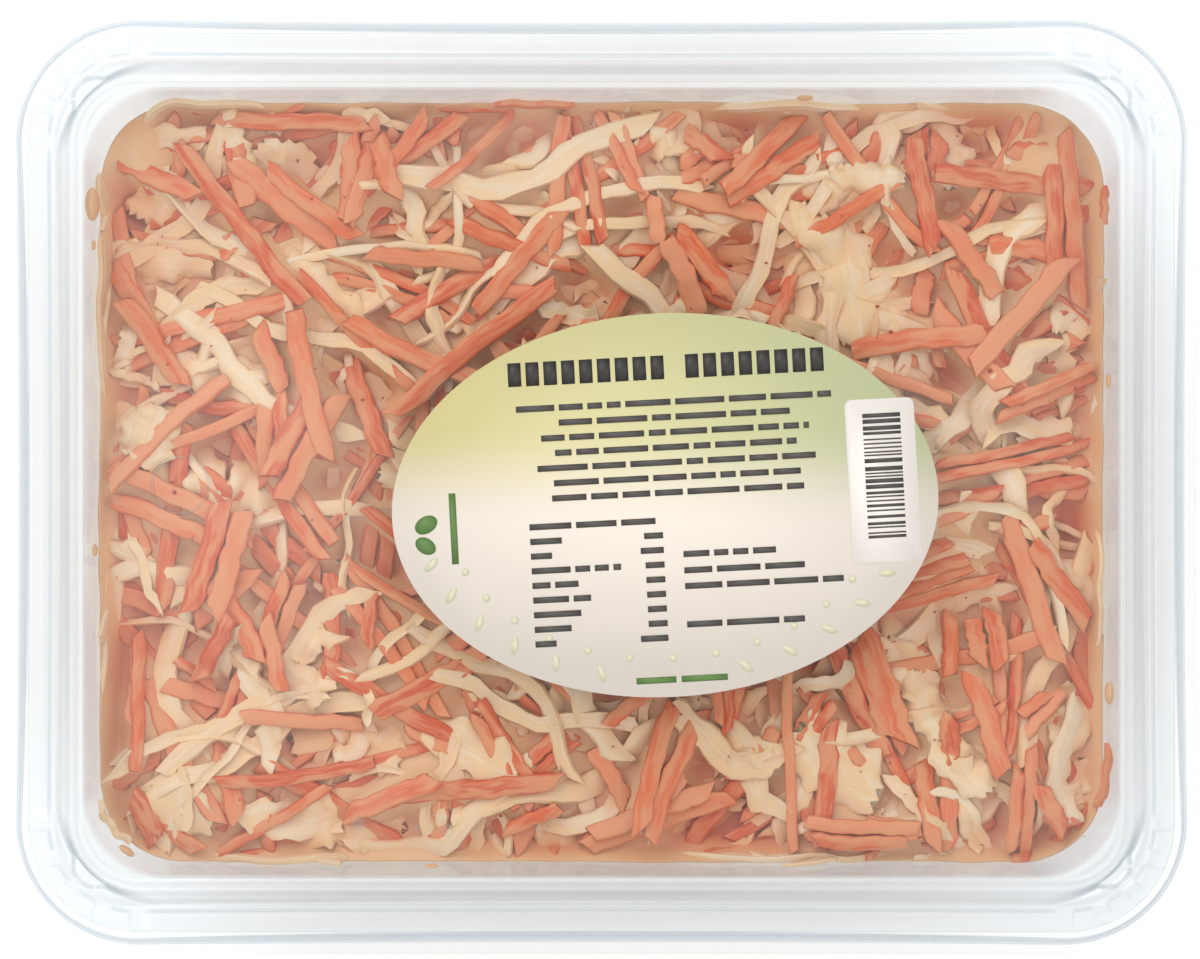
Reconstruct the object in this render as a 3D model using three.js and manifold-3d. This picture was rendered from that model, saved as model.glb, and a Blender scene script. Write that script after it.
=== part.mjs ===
// A clear thermoformed tub of coleslaw, shut with a clear push-on lid that carries an oval paper label.
// Millimetres, +Z up. The origin is at the middle of the footprint, on the surface that the tub stands on.
// Every shell is a loft of rounded rectangles, each given by how far it lies in from the pack's outer edge.
import * as THREE from "three";
import { mergeVertices } from "three/addons/utils/BufferGeometryUtils.js";
import Module from "manifold-3d";

const wasm = await Module();
wasm.setup();

// The whole pack, over the lid's outer lip
const PACK_LENGTH = 227;
const PACK_WIDTH = 180;
const CORNER_STEPS = 6;

// Tub
const TUB_SHEET = 0.6; // formed sheet thickness
const FLANGE_TOP = 55.3;
const LEDGE_TOP = 52.6; // recessed ledge under the edge of the lid's panel
const WALL_TOP = { inset: 15.2, radius: 15, z: 51.8 };
const WALL_FOOT = { inset: 24.4, radius: 19, z: 4.6 };
const FOOT_TOP = TUB_SHEET; // inside of the foot ring, which rests on the table
const BASE_TOP = 1.5; // middle of the base, pushed up so that the tub rests on its foot ring

// Lid
const LID_SHEET = 0.5;
const LID_GAP = 0.3; // from the tub's flange
const RING_TOP = FLANGE_TOP + LID_GAP + LID_SHEET; // flat ring over the flange
const CREST_TOP = RING_TOP + 1.3;
const PANEL_TOP = 53.6;
const BEAD_TOP = PANEL_TOP + 0.6;
const LIP_TOP = 49.4;
const LID_CORNER = 25.4; // the lid's corner arcs are struck from this far in on both sides
const SIDE_POINTS = 1; // along each of the lid's sides, which bow inwards a little
const LUGS_PER_CORNER = 5;
const LUG = { start: 16.8, reach: 21, width: 3.6, height: 1, rounding: 0.5 }; // radially from the centre
const POCKET = { radius: 4.1, middle: 11.2, floor: 55 }; // half-round stacking pocket at each corner

// Label
const LABEL_LENGTH = 104;
const LABEL_WIDTH = 73;
const LABEL_SHEET = 0.2;
const LABEL_GAP = 0.05; // adhesive
const LABEL_MIDDLE = new THREE.Vector2(12.1, -4.3);
const LABEL_TURN = THREE.MathUtils.degToRad(3);

// Coleslaw
const SLAW_GAP = 0.4; // from the tub's sheet
const CORE_TOP = 38.2;
const CORE_CROWN = 1.4; // how much higher the middle of the core stands than its rim
const CORE_DEPTH = 1.9; // how far the core's side lies behind the wall
const CORE_SHOULDER = 2; // chamfer round the core's top
const CROWN_RIM = 26; // from the wall in to where the core is highest
const SLAW_FOOT = 3; // chamfer round the bottom, where the tub's wall turns into its base
const PRESSED = 0.3; // how much the wall flattens a shred that lies against it
const ROWS = 9; // of shreds over the top
const COLUMNS = 12;
const GRID_STRIDE = 47; // cells between one shred and the next, so that they cross in no set order
const HIGHEST = 47.5; // no shred on top is laid above this
const STEEPEST = 0.16; // slope of a shred on top
const BED_CELL = 3; // what lies on top is measured in squares of this size
const BED_STEPS = 12; // along a shred
const WALL_BANDS = [11, 23, 34]; // mean heights of the shreds against the wall
const PER_BAND = 15;
const CARROT = { shortest: 28, longest: 40, width: 4.6, thickness: 3.6, bend: 0, stations: 2 };
const CABBAGE = { shortest: 34, longest: 52, width: 5.4, thickness: 2, bend: 18, stations: 4 };
const LEAF = { shortest: 18, longest: 28, width: 13, thickness: 1.8, bend: 4, stations: 3 };
const STRAY = { ...CARROT, shortest: 12, longest: 16, width: 3.6 }; // climbs the wall above the rest
const STRAY_HEIGHT = 41;
const STRAY_LEAN = 1.3;
const STRAY_PLACES = [0.975, 0.813, 0.508]; // share of the way round the wall from the +X +Y corner

// Repeatable random numbers from 0 to 1.
function randomFrom(seed) {
  let state = seed >>> 0;
  return () => {
    state = (Math.imul(state, 1664525) + 1013904223) >>> 0;
    return state / 2 ** 32;
  };
}

// Centre of a corner's arc, for quadrant 0 to 3 anticlockwise from +X +Y.
function cornerCentre(distance, quadrant) {
  const signX = quadrant === 0 || quadrant === 3 ? 1 : -1;
  const signY = quadrant < 2 ? 1 : -1;
  return new THREE.Vector2(
    signX * (PACK_LENGTH / 2 - distance),
    signY * (PACK_WIDTH / 2 - distance),
  );
}

function polar(centre, radius, angle) {
  return new THREE.Vector2(Math.cos(angle), Math.sin(angle)).multiplyScalar(radius).add(centre);
}

// Rounded rectangle, anticlockwise from the middle of the +X +Y corner. Its sides may bow inwards.
function ring({ inset, radius, z, bow = 0 }, sidePoints = 0) {
  const points = [];
  for (let quadrant = 0; quadrant < 4; quadrant++) {
    const centre = cornerCentre(inset + radius, quadrant);
    for (let step = 0; step <= CORNER_STEPS; step++) {
      points.push(polar(centre, radius, ((quadrant + step / CORNER_STEPS) * Math.PI) / 2));
    }
    const outwards = ((quadrant + 1) * Math.PI) / 2;
    const from = polar(centre, radius, outwards);
    const to = polar(cornerCentre(inset + radius, (quadrant + 1) % 4), radius, outwards);
    for (let k = 1; k <= sidePoints; k++) {
      const share = k / (sidePoints + 1);
      const straight = from.clone().lerp(to, share);
      points.push(polar(straight, -4 * bow * share * (1 - share), outwards));
    }
  }
  const start = CORNER_STEPS / 2;
  return [...points.slice(start), ...points.slice(0, start)].map(({ x, y }) => new THREE.Vector3(x, y, z));
}

// Closed solid through rings of equally many points, with a flat cap on the first and the last.
function loft(rings) {
  const count = rings[0].length;
  const triangles = [];
  for (let i = 1; i < rings.length; i++) {
    for (let j = 0; j < count; j++) {
      const next = (j + 1) % count;
      const [a, b, c, d] = [rings[i - 1][j], rings[i - 1][next], rings[i][next], rings[i][j]];
      triangles.push(a, b, c, a, c, d);
    }
  }
  const [first, last] = [rings[0], rings[rings.length - 1]];
  for (let j = 1; j < count - 1; j++) {
    triangles.push(first[0], first[j + 1], first[j], last[0], last[j], last[j + 1]);
  }
  return new THREE.BufferGeometry().setFromPoints(triangles);
}

// The other face of a formed sheet: each point of the profile moved across it by the thickness.
// A profile runs from the middle of the part outwards, so that "across" is down and outwards.
function otherFace(profile, thickness) {
  return profile.map((point, i) => {
    const before = profile[Math.max(i - 1, 0)];
    const after = profile[Math.min(i + 1, profile.length - 1)];
    const normals = [[before, point], [point, after]]
      .filter(([from, to]) => from !== to)
      .map(([from, to]) => new THREE.Vector2(from.z - to.z, to.inset - from.inset).normalize());
    const across = normals[0].clone();
    if (normals.length === 2) across.add(normals[1]);
    across.normalize();
    const moved = across.clone().multiplyScalar(thickness / across.dot(normals[0]));
    return {
      ...point,
      inset: point.inset + moved.x,
      radius: point.radius - moved.x,
      z: point.z + moved.y,
    };
  });
}

// A formed sheet with this upper face.
function sheet(profile, thickness, sidePoints = 0) {
  const upper = profile.map((point) => ring(point, sidePoints));
  const under = otherFace(profile, thickness).map((point) => ring(point, sidePoints));
  return loft([...under, ...upper.reverse()]);
}

function toSolid(geometry) {
  const plain = geometry.clone();
  plain.deleteAttribute("normal");
  plain.deleteAttribute("uv");
  const merged = mergeVertices(plain, 1e-4);
  return new wasm.Manifold(
    new wasm.Mesh({
      numProp: 3,
      vertProperties: merged.attributes.position.array,
      triVerts: new Uint32Array(merged.index.array),
    }),
  );
}

function toGeometry(solid) {
  const mesh = solid.getMesh();
  const geometry = new THREE.BufferGeometry();
  geometry.setAttribute("position", new THREE.BufferAttribute(mesh.vertProperties, 3));
  geometry.setIndex(new THREE.BufferAttribute(mesh.triVerts, 1));
  return geometry;
}

// Tub: pushed-up base, foot ring, drafted wall, recessed ledge and flat flange.
function makeTub() {
  const profile = [
    { inset: 36, radius: 8, z: BASE_TOP },
    { inset: 34, radius: 10, z: FOOT_TOP },
    { inset: 28.6, radius: 15, z: FOOT_TOP },
    { inset: 26.2, radius: 17.2, z: 1.6 },
    WALL_FOOT,
    WALL_TOP,
    { inset: 14.6, radius: 14.6, z: LEDGE_TOP },
    { inset: 10.9, radius: 13.4, z: LEDGE_TOP },
    { inset: 9.6, radius: 13.8, z: FLANGE_TOP },
    { inset: 5.2, radius: 20.2, z: FLANGE_TOP },
  ];
  return sheet(profile, TUB_SHEET);
}

// Lid's upper face: sunk panel with a bead, crest, flat ring, skirt and turned-out lip.
// The crest's inner edge has the widest corner, so the wall below it is steep there.
function lidProfile() {
  const struck = (inset, z, bow = 0) => ({ inset, radius: LID_CORNER - inset, z, bow });
  return [
    struck(14.4, PANEL_TOP),
    struck(14.0, BEAD_TOP),
    struck(13.4, BEAD_TOP),
    struck(12.8, PANEL_TOP),
    { inset: 10, radius: 20.6, z: CREST_TOP, bow: 0.8 },
    struck(8.8, CREST_TOP, 0.4),
    struck(8.2, RING_TOP, 0.4),
    struck(3.4, RING_TOP, 1.4),
    struck(2.9, RING_TOP - 0.6, 1.4),
    struck(1.9, LIP_TOP + 0.4, 0.5),
    struck(1.6, LIP_TOP, 0.5),
    struck(0, LIP_TOP),
  ];
}

// Outline of a lug that points along +X: square where it leaves the crest, round at its outer end.
function lugRing(shrink, z) {
  const half = LUG.width / 2 - shrink;
  const end = new THREE.Vector2(LUG.reach - LUG.width / 2, 0);
  const arc = Array.from({ length: 6 }, (_, i) => polar(end, half, (i / 5 - 0.5) * Math.PI));
  const outline = [new THREE.Vector2(LUG.start, -half), ...arc, new THREE.Vector2(LUG.start, half)];
  return outline.map(({ x, y }) => new THREE.Vector3(x, y, z));
}

function lug() {
  const top = RING_TOP + LUG.height;
  return loft([
    lugRing(0, RING_TOP - LID_SHEET / 2),
    lugRing(0, top - LUG.rounding),
    lugRing(LUG.rounding, top),
  ]);
}

function upright(radius, low, high) {
  return new THREE.CylinderGeometry(radius, radius, high - low, 16)
    .rotateX(Math.PI / 2)
    .translate(0, 0, (low + high) / 2);
}

function makeLid() {
  const profile = lidProfile();
  const panelEdge = profile[3];
  const overPanel = toSolid(
    loft([ring({ ...panelEdge, z: PANEL_TOP - 1 }), ring({ ...panelEdge, z: CREST_TOP + 1 })]),
  );
  let lid = toSolid(sheet(profile, LID_SHEET, SIDE_POINTS));
  for (let quadrant = 0; quadrant < 4; quadrant++) {
    const centre = cornerCentre(LID_CORNER, quadrant);
    for (let k = 0; k < LUGS_PER_CORNER; k++) {
      const angle = ((quadrant + k / (LUGS_PER_CORNER - 1)) * Math.PI) / 2;
      lid = lid.add(toSolid(lug().rotateZ(angle).translate(centre.x, centre.y, 0)));
    }
    const place = polar(centre, POCKET.middle, ((quadrant + 0.5) * Math.PI) / 2);
    const cup = upright(POCKET.radius + LID_SHEET, POCKET.floor - LID_SHEET, CREST_TOP);
    const hollow = upright(POCKET.radius, POCKET.floor, CREST_TOP + 1);
    lid = lid
      .add(toSolid(cup.translate(place.x, place.y, 0)).subtract(overPanel))
      .subtract(toSolid(hollow.translate(place.x, place.y, 0)));
  }
  return toGeometry(lid);
}

function makeLabel() {
  const oval = new THREE.Shape().absellipse(0, 0, LABEL_LENGTH / 2, LABEL_WIDTH / 2, 0, 2 * Math.PI);
  return new THREE.ExtrudeGeometry(oval, {
    depth: LABEL_SHEET,
    bevelEnabled: false,
    curveSegments: 30,
  })
    .rotateZ(LABEL_TURN)
    .translate(LABEL_MIDDLE.x, LABEL_MIDDLE.y, PANEL_TOP + LABEL_GAP);
}

// The outline of the tub's drafted wall at a height, moved into the tub by depth.
function wallOutline(z, depth) {
  const share = (z - WALL_FOOT.z) / (WALL_TOP.z - WALL_FOOT.z);
  return {
    inset: THREE.MathUtils.lerp(WALL_FOOT.inset, WALL_TOP.inset, share) + depth,
    radius: THREE.MathUtils.lerp(WALL_FOOT.radius, WALL_TOP.radius, share) - depth,
    z,
  };
}

// Point at a share of the way round the wall.
function wallPoint(share, z, depth) {
  const corners = ring(wallOutline(z, depth));
  const outline = new THREE.CurvePath();
  corners.forEach((point, i) => {
    outline.add(new THREE.LineCurve3(point, corners[(i + 1) % corners.length]));
  });
  return outline.getPointAt(share - Math.floor(share));
}

// The dressed mass behind the shreds, crowned a little in the middle.
function slawCore() {
  const foot = { ...wallOutline(WALL_FOOT.z, CORE_DEPTH + SLAW_FOOT), z: BASE_TOP + SLAW_GAP };
  const crown = { ...wallOutline(CORE_TOP, CROWN_RIM), radius: 8, z: CORE_TOP + CORE_CROWN };
  return loft([
    ring(foot),
    ring(wallOutline(WALL_FOOT.z, CORE_DEPTH)),
    ring(wallOutline(CORE_TOP - CORE_SHOULDER, CORE_DEPTH)),
    ring(wallOutline(CORE_TOP, CORE_DEPTH + CORE_SHOULDER)),
    ring(crown),
  ]);
}

// The room that the coleslaw may fill, clear of the tub's sheet.
function slawRoom() {
  const low = { ...wallOutline(WALL_FOOT.z, SLAW_GAP + SLAW_FOOT), z: BASE_TOP + SLAW_GAP };
  return loft([
    ring(low),
    ring(wallOutline(WALL_FOOT.z, SLAW_GAP)),
    ring(wallOutline(WALL_TOP.z, SLAW_GAP)),
  ]);
}

// A strip with an oblong section: stations are points with the direction of the strip's face.
// Its width varies a little, and both ends are cut narrower.
function strip(stations, { width, thickness }, random) {
  const rings = stations.map(({ point, face }, i) => {
    const before = stations[Math.max(i - 1, 0)].point;
    const after = stations[Math.min(i + 1, stations.length - 1)].point;
    const along = after.clone().sub(before).normalize();
    const side = new THREE.Vector3().crossVectors(face, along).normalize();
    const isEnd = i === 0 || i === stations.length - 1;
    const out = side.multiplyScalar((width / 2) * (isEnd ? 0.72 : 0.9 + 0.25 * random()));
    const up = face.clone().multiplyScalar(thickness / 2);
    return [
      point.clone().sub(out).sub(up),
      point.clone().add(out).sub(up),
      point.clone().add(out).add(up),
      point.clone().sub(out).add(up),
    ];
  });
  return loft(rings);
}

// A shred's middle line in its own plane: distance along it, and how far it bends aside.
function shredPath(kind, random) {
  const length = THREE.MathUtils.lerp(kind.shortest, kind.longest, random());
  const bend = kind.bend * (random() - 0.5);
  return Array.from({ length: kind.stations }, (_, i) => {
    const share = i / (kind.stations - 1) - 0.5;
    return new THREE.Vector2(share * length, bend * (1 - 4 * share * share));
  });
}

// What lies on top so far: its height in square cells, from the bare core upwards.
function makeBed() {
  const cells = new Map();
  const key = (x, y) => `${Math.round(x / BED_CELL)} ${Math.round(y / BED_CELL)}`;
  const height = (x, y) => cells.get(key(x, y)) ?? CORE_TOP;
  const raise = (x, y, z) => cells.set(key(x, y), Math.max(height(x, y), z));
  return { height, raise };
}

// A shred dropped on top. It stays straight, and tips towards the side where the bed is lower.
function topShred(kind, middle, bed, random) {
  const turn = Math.PI * random();
  const path = shredPath(kind, random);
  const inPlan = (place) => place.clone().rotateAround(new THREE.Vector2(), turn).add(middle);
  const places = new THREE.SplineCurve(path).getPoints(BED_STEPS);
  const under = places.map((place) => {
    const { x, y } = inPlan(place);
    return bed.height(x, y);
  });
  const mean = (values) => values.reduce((sum, value) => sum + value, 0) / values.length;
  const half = path[path.length - 1].x;
  const tipped = (mean(under.slice(-BED_STEPS / 2)) - mean(under.slice(0, BED_STEPS / 2))) / half;
  const slope = THREE.MathUtils.clamp(tipped, -STEEPEST, STEEPEST);
  const height = Math.min(mean(under) + kind.thickness * (0.15 + 0.35 * random()), HIGHEST);
  for (const place of places) {
    const { x, y } = inPlan(place);
    bed.raise(x, y, height + slope * place.x + kind.thickness / 2);
  }
  const stations = path.map((place) => {
    const { x, y } = inPlan(place);
    const point = new THREE.Vector3(x, y, height + slope * place.x);
    return { point, face: new THREE.Vector3(0, 0, 1) };
  });
  return strip(stations, kind, random);
}

// A shred pressed against the tub's wall, round a corner too.
function wallShred(kind, share, height, lean, random) {
  const { inset, radius } = wallOutline(height, 0);
  const girth = 2 * (PACK_LENGTH + PACK_WIDTH - 4 * inset) - (8 - 2 * Math.PI) * radius;
  const depth = SLAW_GAP + kind.thickness / 2 - PRESSED;
  const stations = shredPath(kind, random).map((place) => {
    const along = place.clone().rotateAround(new THREE.Vector2(), lean);
    const at = share + along.x / girth;
    const z = height + along.y;
    const point = wallPoint(at, z, depth);
    const inwards = wallPoint(at, z, depth + 1).sub(point);
    const upwards = wallPoint(at, z + 1, depth).sub(point);
    const round = new THREE.Vector3().crossVectors(upwards, inwards);
    return { point, face: new THREE.Vector3().crossVectors(round, upwards).normalize() };
  });
  return strip(stations, kind, random);
}

function pickKind(random) {
  const draw = random();
  if (draw < 0.42) return CARROT;
  return draw < 0.9 ? CABBAGE : LEAF;
}

// Every strip that shows: on an uneven grid over the top, in bands round the wall, and the strays.
function slawShreds() {
  const random = randomFrom(1907);
  const { inset } = wallOutline(CORE_TOP, 0);
  const bed = makeBed();
  const shreds = [];
  for (let i = 0; i < ROWS * COLUMNS; i++) {
    const cell = (i * GRID_STRIDE) % (ROWS * COLUMNS);
    const column = cell % COLUMNS;
    const row = Math.floor(cell / COLUMNS);
    const middle = new THREE.Vector2(
      (PACK_LENGTH / 2 - inset) * ((2 * (column + 0.3 + 0.4 * random())) / COLUMNS - 1),
      (PACK_WIDTH / 2 - inset) * ((2 * (row + 0.3 + 0.4 * random())) / ROWS - 1),
    );
    shreds.push(topShred(pickKind(random), middle, bed, random));
  }
  for (const [band, height] of WALL_BANDS.entries()) {
    for (let k = 0; k < PER_BAND; k++) {
      const share = (k + 0.5 * (band + random())) / PER_BAND;
      const kind = pickKind(random);
      const lean = 0.35 * (2 * random() - 1);
      shreds.push(wallShred(kind, share, height + 4 * (random() - 0.5), lean, random));
    }
  }
  for (const share of STRAY_PLACES) {
    shreds.push(wallShred(STRAY, share, STRAY_HEIGHT, STRAY_LEAN, random));
  }
  return shreds;
}

function makeSlaw() {
  let heap = toSolid(slawCore());
  for (const shred of slawShreds()) heap = heap.add(toSolid(shred));
  const bodies = heap.intersect(toSolid(slawRoom())).decompose();
  bodies.sort((a, b) => b.volume() - a.volume());
  return toGeometry(bodies[0]);
}

const CLEAR = { transparent: true, roughness: 0.08, metalness: 0 };
const parts = {
  tub: [makeTub, { color: 0xf2f5f6, opacity: 0.3, ...CLEAR }],
  lid: [makeLid, { color: 0xf6f8f9, opacity: 0.22, ...CLEAR }],
  label: [makeLabel, { color: 0xdfd8cf, roughness: 0.6, metalness: 0 }],
  coleslaw: [makeSlaw, { color: 0xe0b48e, roughness: 0.4, metalness: 0 }],
};

const pack = new THREE.Group();
for (const [name, [make, finish]] of Object.entries(parts)) {
  const mesh = new THREE.Mesh(make(), new THREE.MeshStandardMaterial(finish));
  mesh.name = name;
  pack.add(mesh);
}

export default pack;
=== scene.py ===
import math

import bmesh
import bpy
import numpy as np
from mathutils import Matrix, Vector


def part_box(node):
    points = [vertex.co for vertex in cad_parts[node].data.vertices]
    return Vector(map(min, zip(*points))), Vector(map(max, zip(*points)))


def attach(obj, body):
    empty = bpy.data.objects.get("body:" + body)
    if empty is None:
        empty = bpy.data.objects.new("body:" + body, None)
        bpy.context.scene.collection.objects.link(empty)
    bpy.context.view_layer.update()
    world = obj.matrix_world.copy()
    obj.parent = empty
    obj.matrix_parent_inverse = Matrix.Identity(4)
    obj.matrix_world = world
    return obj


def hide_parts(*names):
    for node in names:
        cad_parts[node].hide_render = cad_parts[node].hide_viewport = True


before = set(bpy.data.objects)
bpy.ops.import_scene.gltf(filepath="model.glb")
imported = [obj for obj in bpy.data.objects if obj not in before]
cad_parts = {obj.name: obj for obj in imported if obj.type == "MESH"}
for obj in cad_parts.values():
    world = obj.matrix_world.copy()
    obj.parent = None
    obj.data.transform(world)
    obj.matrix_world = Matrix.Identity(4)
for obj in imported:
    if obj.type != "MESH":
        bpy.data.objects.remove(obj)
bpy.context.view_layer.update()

# Tray
# One sheet of clear PET, vacuum formed: a pushed-up base inside a foot ring, a wall that leans out
# a fifth of its height, a ledge under the lid's panel and a flange that the lid is pushed over.
MM = 0.001
PACK_HALF = [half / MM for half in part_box("lid")[1][:2]]
TRAY_SHEET = 0.6
FLANGE_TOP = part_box("tub")[1].z / MM
LEDGE_TOP = 52.6
WALL_TOP = (15.2, 15, 51.8, 0)
WALL_FOOT = (24.4, 19, 4.6, 0)
# A profile's rows are: inset from the pack's outer edge, corner radius, height, sag of the sides
BASE_PROFILE = [(40, 6, 1.5, 0), (36, 8, 1.5, 0), (34, 10, 0.6, 0), (28.6, 15, 0.6, 0), (26.2, 17.2, 1.6, 0)]
RIM_PROFILE = [
    (14.6, 14.6, LEDGE_TOP, 0),
    (10.9, 13.4, LEDGE_TOP, 0),
    (9.6, 13.8, FLANGE_TOP, 0),
    (5.2, 20.2, FLANGE_TOP, 0),
    (4.6, 20.8, FLANGE_TOP - 0.2, 0),
]
BEND = 0.9
BEND_STEPS = 5
SIDE_CROWDING = 2.2


def colour(code):
    """A hex code as linear red, green, blue and alpha."""
    channels = [int(code[place:place + 2], 16) / 255 for place in (1, 3, 5)]
    return [c / 12.92 if c <= 0.04045 else ((c + 0.055) / 1.055) ** 2.4 for c in channels] + [1]


def add(tree, kind, settings=None, links=None):
    """Adds a shader node, sets its options and its sockets' values, and links outputs to its sockets. A
    node among the links stands for its first output."""
    made = tree.nodes.new("ShaderNode" + kind)
    for name, value in (settings or {}).items():
        if isinstance(name, int) or name in made.inputs:
            made.inputs[name].default_value = value
        else:
            setattr(made, name, value)
    for name, source in (links or {}).items():
        output = source.outputs[0] if isinstance(source, bpy.types.Node) else source
        tree.links.new(output, made.inputs[name])
    return made


def softened(profile, bend, step):
    """Rounds the bends of a profile, and cuts its straights into parts no longer than a step."""
    rows = [np.array(row, float) for row in profile]
    eased = [rows[0]]
    for before, at, after in zip(rows, rows[1:], rows[2:]):
        runs = [np.hypot(*(other - at)[[0, 2]]) for other in (before, after)]
        start, end = [
            at + (other - at) * min(bend / run, 0.45) for other, run in zip((before, after), runs)
        ]
        for t in np.linspace(0, 1, BEND_STEPS):
            eased.append((1 - t) ** 2 * start + 2 * t * (1 - t) * at + t * t * end)
    eased.append(rows[-1])
    cut = [eased[0]]
    for start, end in zip(eased, eased[1:]):
        parts = max(1, math.ceil(np.hypot(*(end - start)[[0, 2]]) / step))
        cut += [start + (end - start) * part / parts for part in range(1, parts + 1)]
    return cut


def ring(mesh, row, corner_steps, side_cuts, crowding):
    """Adds a closed line of edges: a level rounded rectangle whose sides sag inwards."""
    inset, radius, height, sag, scale = (*row, 1)[:5]
    half = [(side - inset) * scale for side in PACK_HALF]
    known = set(mesh.edges)
    corners = bmesh.ops.create_grid(mesh, x_segments=1, y_segments=1, size=1)["verts"]
    bmesh.ops.scale(mesh, vec=(*half, 1), verts=corners)
    bmesh.ops.translate(mesh, vec=(0, 0, height), verts=corners)
    bmesh.ops.bevel(mesh, geom=corners, offset=radius * scale, offset_type="OFFSET",
                    segments=corner_steps, profile=0.5, affect="VERTICES", material=-1)
    face = next(iter(mesh.faces))
    sides = sorted(face.edges, key=lambda edge: edge.calc_length())[-4:]
    bmesh.ops.delete(mesh, geom=[face], context="FACES_ONLY")
    bmesh.ops.subdivide_edges(mesh, edges=sides, cuts=side_cuts)
    edges = [edge for edge in mesh.edges if edge not in known]
    straight = [side - radius * scale for side in half]
    for vert in {vert for edge in edges for vert in edge.verts}:
        for way in (0, 1):
            if abs(vert.co[way]) < straight[way] - 1e-6:
                share = vert.co[way] / straight[way]
                crowded = 1 - (1 - abs(share)) ** crowding
                vert.co[way] = math.copysign(crowded, share) * straight[way]
                vert.co[1 - way] -= math.copysign(sag * (1 - crowded ** 2), vert.co[1 - way])
    return edges


def lofted(rows, corner_steps, side_cuts, crowding=SIDE_CROWDING):
    """A mesh through a ring for each row, and the rings. A row may end in a scale."""
    mesh = bmesh.new()
    # While they are bridged the rings stand in a tall cone, so that each meets its true neighbour
    rings = [ring(mesh, (*row[:2], step, *row[3:]), corner_steps, side_cuts, crowding)
             for step, row in enumerate(rows)]
    for one, other in zip(rings, rings[1:]):
        bmesh.ops.bridge_loops(mesh, edges=one + other)
    for edges, row in zip(rings, rows):
        for vert in {vert for edge in edges for vert in edge.verts}:
            vert.co.z = row[2]
    return mesh, rings


def formed_sheet(profile, corner_steps, side_cuts):
    """A thermoformed sheet through the rows of a profile, with its middle filled, facing up."""
    mesh, rings = lofted(profile, corner_steps, side_cuts)
    middle = bmesh.ops.edgeloop_fill(mesh, edges=rings[0])["faces"][0]
    bmesh.ops.recalc_face_normals(mesh, faces=mesh.faces)
    if middle.normal.z < 0:
        bmesh.ops.reverse_faces(mesh, faces=mesh.faces)
    return mesh


def as_piece(data, name, material):
    """Makes a mesh a smooth piece of the part, which rides on its one body."""
    data.shade_smooth()
    piece = bpy.data.objects.new(name, data)
    bpy.context.scene.collection.objects.link(piece)
    data.materials.append(material)
    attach(piece, "root")
    return piece


def finish_piece(mesh, name, material):
    """Turns a bmesh in millimetres into a piece."""
    bmesh.ops.scale(mesh, vec=(MM, MM, MM), verts=mesh.verts)
    data = bpy.data.meshes.new(name)
    mesh.to_mesh(data)
    mesh.free()
    return as_piece(data, name, material)


def thicken(piece, thickness):
    """Gives a formed sheet its thickness, down and outwards from the modelled face."""
    solidify = piece.modifiers.new("sheet", "SOLIDIFY")
    solidify.thickness = thickness * MM
    solidify.offset = -1
    solidify.use_even_offset = True


def bare_material(name):
    """A material with no shader yet, its node tree, and the place on the object in metres."""
    material = bpy.data.materials.new(name)
    material.use_nodes = True
    tree = material.node_tree
    tree.nodes.clear()
    return material, tree, add(tree, "TexCoord").outputs["Object"]


def formed_pet(name, tint, roughness, ripple):
    """Thermoformed PET: clear, hard and glossy, with the faint waves of a sheet that was drawn warm. Seen
    flat on it is clear, and seen along the sheet it mirrors more and takes a tint."""
    material, tree, place = bare_material(name)
    # Waves about 25 mm long, as the sheet leaves them where the form doesn't stretch it
    waves = add(tree, "TexNoise", {"Scale": 1 / (25 * MM), "Detail": 0}, {"Vector": place})
    bump = add(tree, "Bump", {"Strength": 1, "Distance": ripple * MM},
               {"Height": waves})
    angle = add(tree, "LayerWeight", {"Blend": 0.5}, {"Normal": bump})
    along = angle.outputs["Facing"]
    steep = add(tree, "MapRange", {"From Min": 0.3, "From Max": 1}, {"Value": along})
    body = add(tree, "MixRGB", {"Color1": colour("#FAFCFD"), "Color2": colour(tint)},
               {"Fac": steep})
    sheet = add(tree, "BsdfTransparent", None, {"Color": body})
    gloss = add(tree, "BsdfGlossy", {"Roughness": roughness}, {"Normal": bump})
    # Schlick's rule for an index of 1.57
    grazing = add(tree, "Math", {"operation": "POWER", 1: 5}, {0: along})
    share = add(tree, "Math", {"operation": "MULTIPLY_ADD", 1: 0.95, 2: 0.05},
                {0: grazing})
    clear = add(tree, "MixShader", None, {
        0: share, 1: sheet, 2: gloss,
    })
    # Light passes the thin sheet nearly unchanged, so lamps and the sky reach the food through it
    passing = add(tree, "BsdfTransparent", {"Color": colour("#F6F8F9")})
    path = add(tree, "LightPath").outputs
    soft = add(tree, "Math", {"operation": "MAXIMUM"},
               {0: path["Is Shadow Ray"], 1: path["Is Diffuse Ray"]})
    both = add(tree, "MixShader", None, {
        0: soft, 1: clear, 2: passing,
    })
    add(tree, "OutputMaterial", None, {"Surface": both})
    return material


tray_profile = softened([*BASE_PROFILE, WALL_FOOT, WALL_TOP, *RIM_PROFILE], BEND, 12)
tray_pet = formed_pet("formed_pet_tray", "#F4F6F7", 0.03, 0.05)
tray = finish_piece(formed_sheet(tray_profile, 28, 11), "tray", tray_pet)
thicken(tray, TRAY_SHEET)
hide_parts("tub")

# Dressing
# The mayonnaise dressing that binds the shreds. It fills the tray behind them, stands in pools at
# the rim and leaves a thin film on the wall above the food.
CELL = 0.8
FIELD_HALF = (100, 76)
COLUMNS, ROWS = [int(2 * half / CELL) for half in FIELD_HALF]
LEVEL = 41.5
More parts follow.
